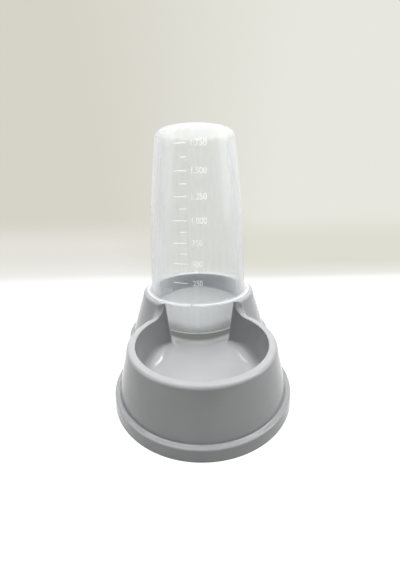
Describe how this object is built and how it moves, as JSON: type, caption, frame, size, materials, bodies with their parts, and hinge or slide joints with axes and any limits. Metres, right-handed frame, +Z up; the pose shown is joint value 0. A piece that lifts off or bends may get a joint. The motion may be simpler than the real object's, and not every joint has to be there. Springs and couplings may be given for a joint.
{
  "type": "automatic pet bowl",
  "caption": "Gravity-fed pet bowl: a hollow moulded base with a round bowl and a tower, and an upturned see-through measuring bottle that turns and locks into the tower.",
  "frame": {"origin": "on the ground, under the middle of the footprint's bounding box", "axes": "+Z up, +Y from the bowl to the tower, +X to the right seen from the bowl's side"},
  "size_m": [0.203, 0.3068, 0.2756],
  "materials": {
    "grey_plastic": "glossy injection-moulded polypropylene, mid grey",
    "clear_plastic": "milky see-through injection-moulded polypropylene"
  },
  "bodies": {
    "base": {"base": "grey_plastic"},
    "bottle": {"bottle": "clear_plastic"}
  },
  "joints": [
    {"name": "bottle_twist", "type": "hinge", "parent": "base", "child": "bottle", "pos_m": [0, 0.0519, 0.0734], "axis": [0, 0, 1], "range_deg": [0, 30]}
  ]
}
